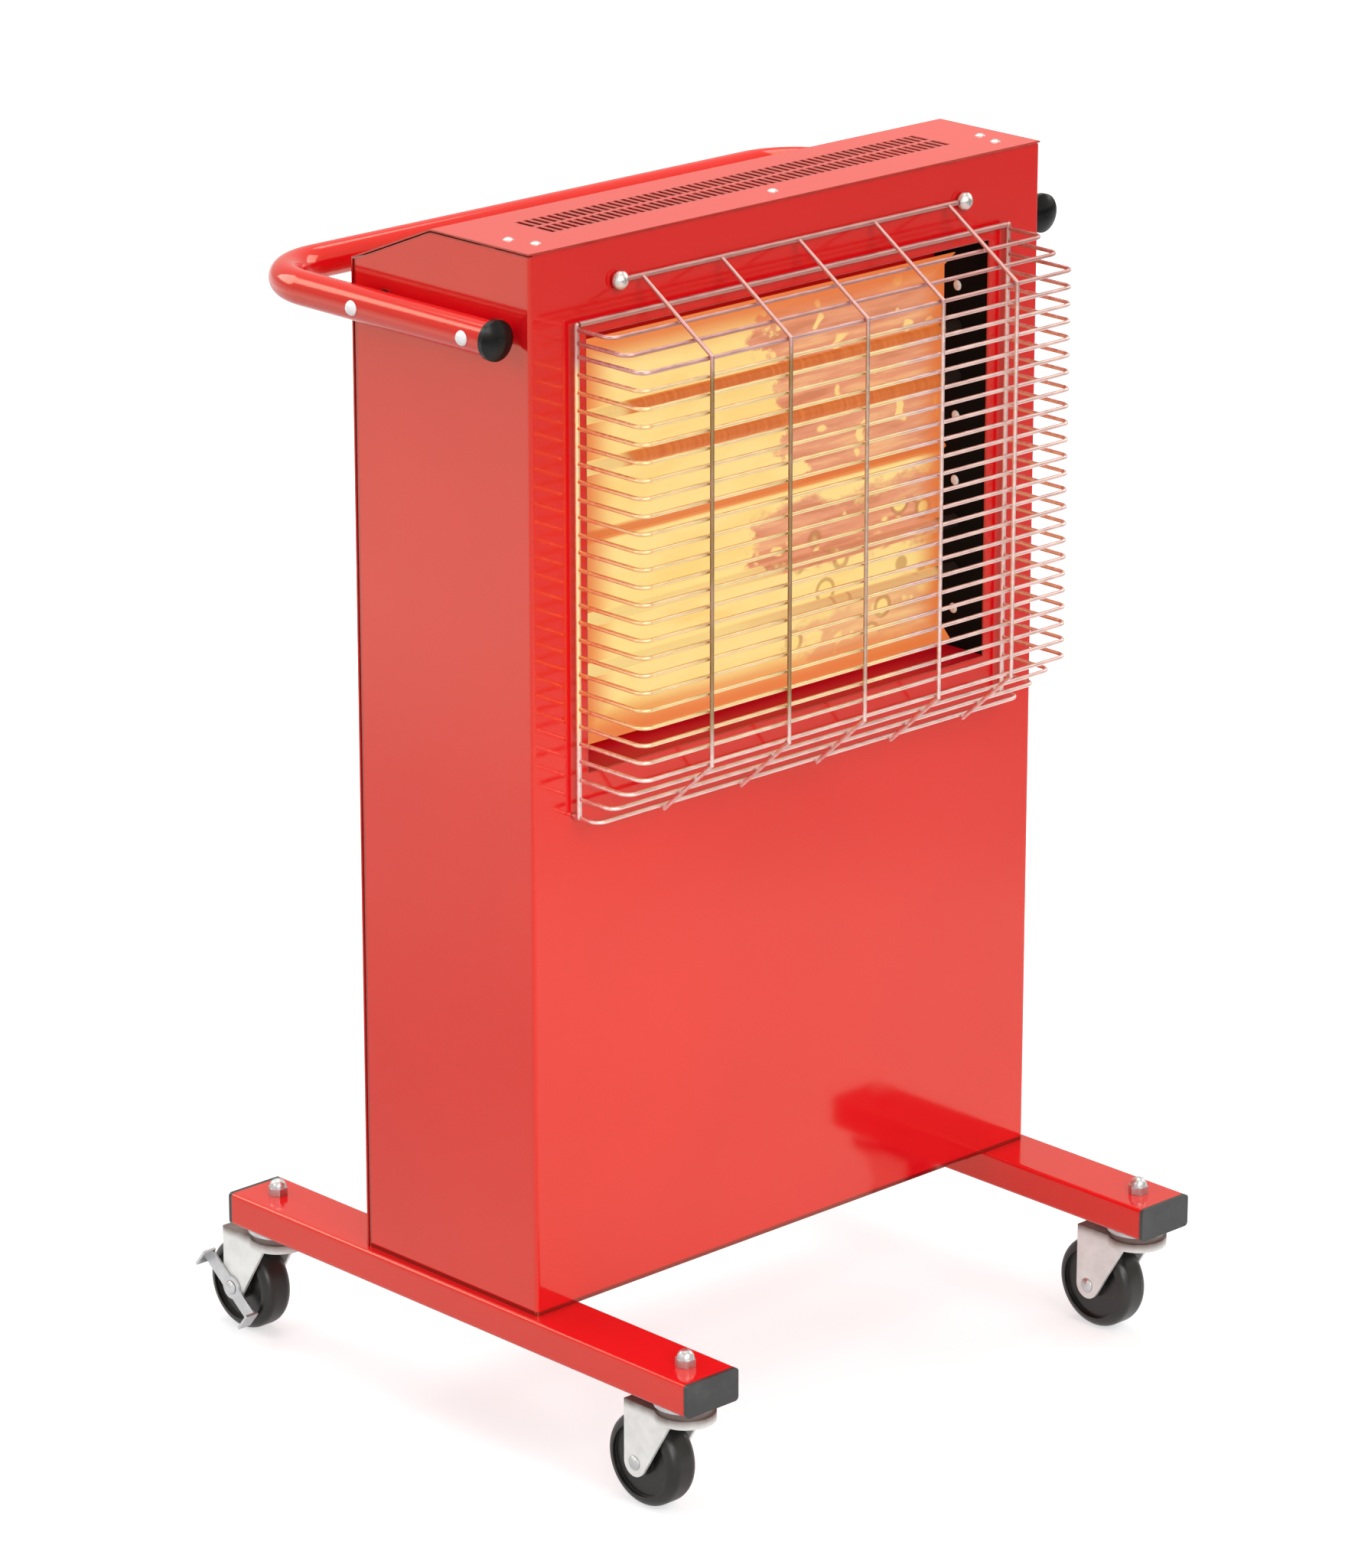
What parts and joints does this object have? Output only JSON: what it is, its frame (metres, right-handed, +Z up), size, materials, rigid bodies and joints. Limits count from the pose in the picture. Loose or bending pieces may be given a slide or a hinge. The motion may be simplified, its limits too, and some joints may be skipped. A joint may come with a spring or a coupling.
{
  "type": "portable halogen infrared heater",
  "caption": "Upright red steel cabinet with lamp tubes and reflectors behind a wire guard, a bent tube push handle and box legs on swivel castors, for radiant heating.",
  "frame": {"origin": "on the floor, at the middle of the overall width and depth", "axes": "+Z up, +X to the right as seen from the front, the lamp window faces -Y"},
  "size_m": [0.5692, 0.5364, 0.8916],
  "materials": {
    "red_paint": "semi-gloss powder coat",
    "black_paint": "matt heat-proof paint",
    "reflector_metal": "bright, lit warm by the lamps",
    "quartz": "clear quartz tube, amber when lit",
    "ceramic": "unglazed ceramic",
    "guard_chrome": "bright plated wire",
    "black_plastic": "moulded, slightly glossy",
    "black_rubber": "smooth",
    "cable_rubber": "heat-proof sleeve",
    "zinc_steel": "bright zinc plate"
  },
  "bodies": {
    "cabinet": {"cabinet_wrap": "red_paint", "top_cover": "red_paint", "cover_screws": "zinc_steel", "rear_panel": "red_paint", "rear_screws": "zinc_steel", "base_panel": "red_paint", "lamp_tray": "red_paint", "left_end_plate": "black_paint", "right_end_plate": "black_paint", "end_plate_screws": "zinc_steel", "upper_reflector": "reflector_metal", "lower_reflector": "reflector_metal", "lamp_1": "quartz", "lamp_2": "quartz", "lamp_3": "quartz", "lamp_4": "quartz", "lamp_end_caps": "zinc_steel", "lamp_holders": "ceramic", "guard_cross_wires": "guard_chrome", "guard_side_wires": "guard_chrome", "guard_frame": "guard_chrome", "guard_uprights": "guard_chrome", "guard_stays": "guard_chrome", "guard_top_bar": "guard_chrome", "guard_screws": "zinc_steel", "handle_tube": "red_paint", "handle_spacers": "black_plastic", "handle_bolts": "zinc_steel", "handle_nuts": "zinc_steel", "handle_end_caps": "black_plastic", "left_leg": "red_paint", "right_leg": "red_paint", "leg_end_caps": "black_plastic", "leg_bolts": "zinc_steel", "leg_nuts": "zinc_steel", "castor_stems": "zinc_steel", "castor_dome_nuts": "zinc_steel", "switch_plate": "black_plastic", "switch_housings": "black_plastic", "cord_gland": "black_plastic", "gland_locknut": "black_plastic", "terminal_block": "ceramic", "tilt_switch": "black_plastic", "wiring_loom": "cable_rubber"},
    "front_left_castor": {"front_left_fork": "zinc_steel", "front_left_axle": "zinc_steel"},
    "front_left_roller": {"front_left_wheel": "black_rubber"},
    "front_right_castor": {"front_right_fork": "zinc_steel", "front_right_axle": "zinc_steel"},
    "front_right_roller": {"front_right_wheel": "black_rubber"},
    "rear_left_castor": {"rear_left_fork": "zinc_steel", "rear_left_axle": "zinc_steel"},
    "rear_left_roller": {"rear_left_wheel": "black_rubber"},
    "left_brake": {"left_brake_lever": "zinc_steel"},
    "rear_right_castor": {"rear_right_fork": "zinc_steel", "rear_right_axle": "zinc_steel"},
    "rear_right_roller": {"rear_right_wheel": "black_rubber"},
    "right_brake": {"right_brake_lever": "zinc_steel"},
    "upper_lamp_switch": {"upper_lamp_rocker": "black_plastic"},
    "lower_lamp_switch": {"lower_lamp_rocker": "black_plastic"}
  },
  "joints": [
    {"name": "front_left_swivel", "type": "hinge", "parent": "cabinet", "child": "front_left_castor", "pos_m": [-0.233, -0.24075, 0.08], "axis": [0, 0, 1], "continuous": true},
    {"name": "front_left_roll", "type": "hinge", "parent": "front_left_castor", "child": "front_left_roller", "pos_m": [-0.233, -0.20675, 0.035], "axis": [1, 0, 0], "continuous": true},
    {"name": "front_right_swivel", "type": "hinge", "parent": "cabinet", "child": "front_right_castor", "pos_m": [0.233, -0.24075, 0.08], "axis": [0, 0, 1], "continuous": true},
    {"name": "front_right_roll", "type": "hinge", "parent": "front_right_castor", "child": "front_right_roller", "pos_m": [0.233, -0.20675, 0.035], "axis": [1, 0, 0], "continuous": true},
    {"name": "rear_left_swivel", "type": "hinge", "parent": "cabinet", "child": "rear_left_castor", "pos_m": [-0.233, 0.19925, 0.08], "axis": [0, 0, 1], "continuous": true},
    {"name": "rear_left_roll", "type": "hinge", "parent": "rear_left_castor", "child": "rear_left_roller", "pos_m": [-0.233, 0.23325, 0.035], "axis": [1, 0, 0], "continuous": true},
    {"name": "left_brake_rock", "type": "hinge", "parent": "rear_left_castor", "child": "left_brake", "pos_m": [-0.233, 0.23325, 0.035], "axis": [1, 0, 0], "range_deg": [-35, 0]},
    {"name": "rear_right_swivel", "type": "hinge", "parent": "cabinet", "child": "rear_right_castor", "pos_m": [0.233, 0.19925, 0.08], "axis": [0, 0, 1], "continuous": true},
    {"name": "rear_right_roll", "type": "hinge", "parent": "rear_right_castor", "child": "rear_right_roller", "pos_m": [0.233, 0.23325, 0.035], "axis": [1, 0, 0], "continuous": true},
    {"name": "right_brake_rock", "type": "hinge", "parent": "rear_right_castor", "child": "right_brake", "pos_m": [0.233, 0.23325, 0.035], "axis": [1, 0, 0], "range_deg": [-35, 0]},
    {"name": "upper_lamp_switch_rock", "type": "hinge", "parent": "cabinet", "child": "upper_lamp_switch", "pos_m": [-0.014, 0.07475, 0.6], "axis": [1, 0, 0], "range_deg": [0, 20]},
    {"name": "lower_lamp_switch_rock", "type": "hinge", "parent": "cabinet", "child": "lower_lamp_switch", "pos_m": [0.014, 0.07475, 0.6], "axis": [1, 0, 0], "range_deg": [0, 20]}
  ]
}
